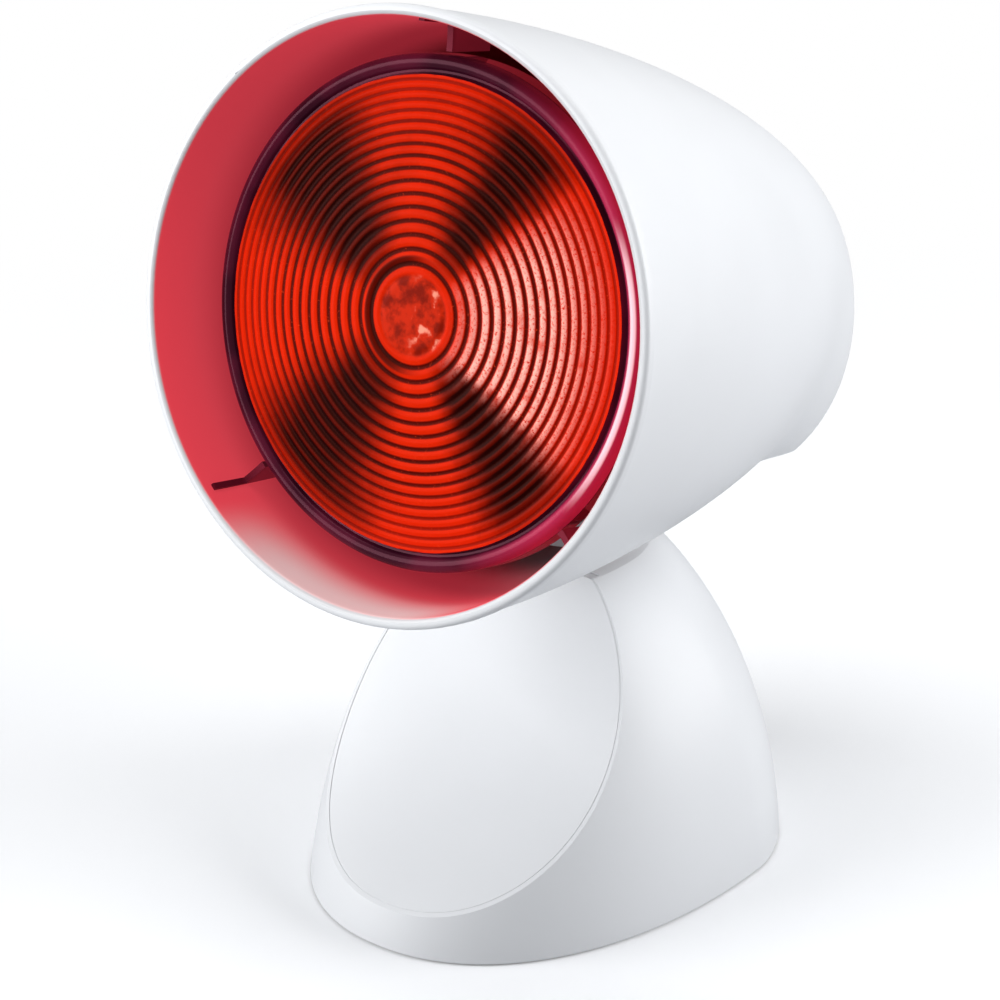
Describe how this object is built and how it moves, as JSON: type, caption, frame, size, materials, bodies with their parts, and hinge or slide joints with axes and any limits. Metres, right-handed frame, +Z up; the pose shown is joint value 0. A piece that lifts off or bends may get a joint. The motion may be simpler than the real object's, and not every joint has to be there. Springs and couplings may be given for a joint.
{
  "type": "infrared heat lamp",
  "caption": "Tabletop infrared heat lamp: a bell shaped white shade with a red reflector bulb, tilting in steps on a rounded stand with a sloping front panel.",
  "frame": {"origin": "on the table, under the middle of the whole lamp as it stands at rest", "axes": "+Z up, -Y the way the lamp faces, +X to the right of someone who faces the lamp"},
  "size_m": [0.1442, 0.1859, 0.2348],
  "materials": {
    "white_shell": "smooth satin white",
    "white_panel": "smooth white, glossier than the shell",
    "white_shade": "smooth white, heat resistant",
    "red_glass": "pressed glass with rings, deep red",
    "dark_red_glass": "dark red glass",
    "black_plastic": "moulded black",
    "grey_nylon": "moulded grey",
    "black_rubber": "soft, matte",
    "ceramic": "unglazed ceramic",
    "zinc_steel": "zinc plated",
    "brass": "pressed brass",
    "brown_wire": "insulated wire",
    "blue_wire": "insulated wire"
  },
  "bodies": {
    "stand": {"stand_shell": "white_shell", "front_panel": "white_panel", "base_plate": "black_plastic", "rubber_foot_1": "black_rubber", "rubber_foot_2": "black_rubber", "rubber_foot_3": "black_rubber", "rubber_foot_4": "black_rubber", "base_screw_1": "zinc_steel", "base_screw_2": "zinc_steel", "base_screw_3": "zinc_steel", "base_screw_4": "zinc_steel", "column_screw_1": "zinc_steel", "column_screw_2": "zinc_steel", "column_screw_3": "zinc_steel", "column_screw_4": "zinc_steel", "hinge_column": "grey_nylon", "cord_gland": "black_rubber", "cord_clamp": "black_plastic", "clamp_screw_1": "zinc_steel", "clamp_screw_2": "zinc_steel", "terminal_block": "black_plastic", "stand_lead_live": "brown_wire", "stand_lead_neutral": "blue_wire", "detent_ring": "zinc_steel"},
    "head": {"shade": "white_shade", "head_bracket": "zinc_steel", "bracket_screw_1": "zinc_steel", "bracket_screw_2": "zinc_steel", "holder_screw_1": "zinc_steel", "holder_screw_2": "zinc_steel", "detent_spring": "zinc_steel", "detent_screw": "zinc_steel", "lampholder": "ceramic", "holder_thread": "brass", "centre_contact": "brass", "pivot_tube": "zinc_steel", "pivot_nut_1": "zinc_steel", "pivot_nut_2": "zinc_steel", "pivot_washer_1": "zinc_steel", "pivot_washer_2": "zinc_steel", "spring_washer": "zinc_steel", "head_lead_live": "brown_wire", "head_lead_neutral": "blue_wire"},
    "bulb": {"bulb_reflector": "dark_red_glass", "bulb_lens": "red_glass", "bulb_cap": "brass", "cap_insulator": "black_plastic", "cap_contact": "brass", "filament": "zinc_steel", "filament_support_1": "zinc_steel", "filament_support_2": "zinc_steel"}
  },
  "joints": [
    {"name": "head_tilt", "type": "hinge", "parent": "stand", "child": "head", "pos_m": [0, 0.0092, 0.1014], "axis": [-1, 0, 0], "range_deg": [-10, 30]},
    {"name": "bulb_unscrew", "type": "slide", "parent": "head", "child": "bulb", "axis": [0, -0.9603, 0.279], "range_m": [0, 0.03]}
  ]
}
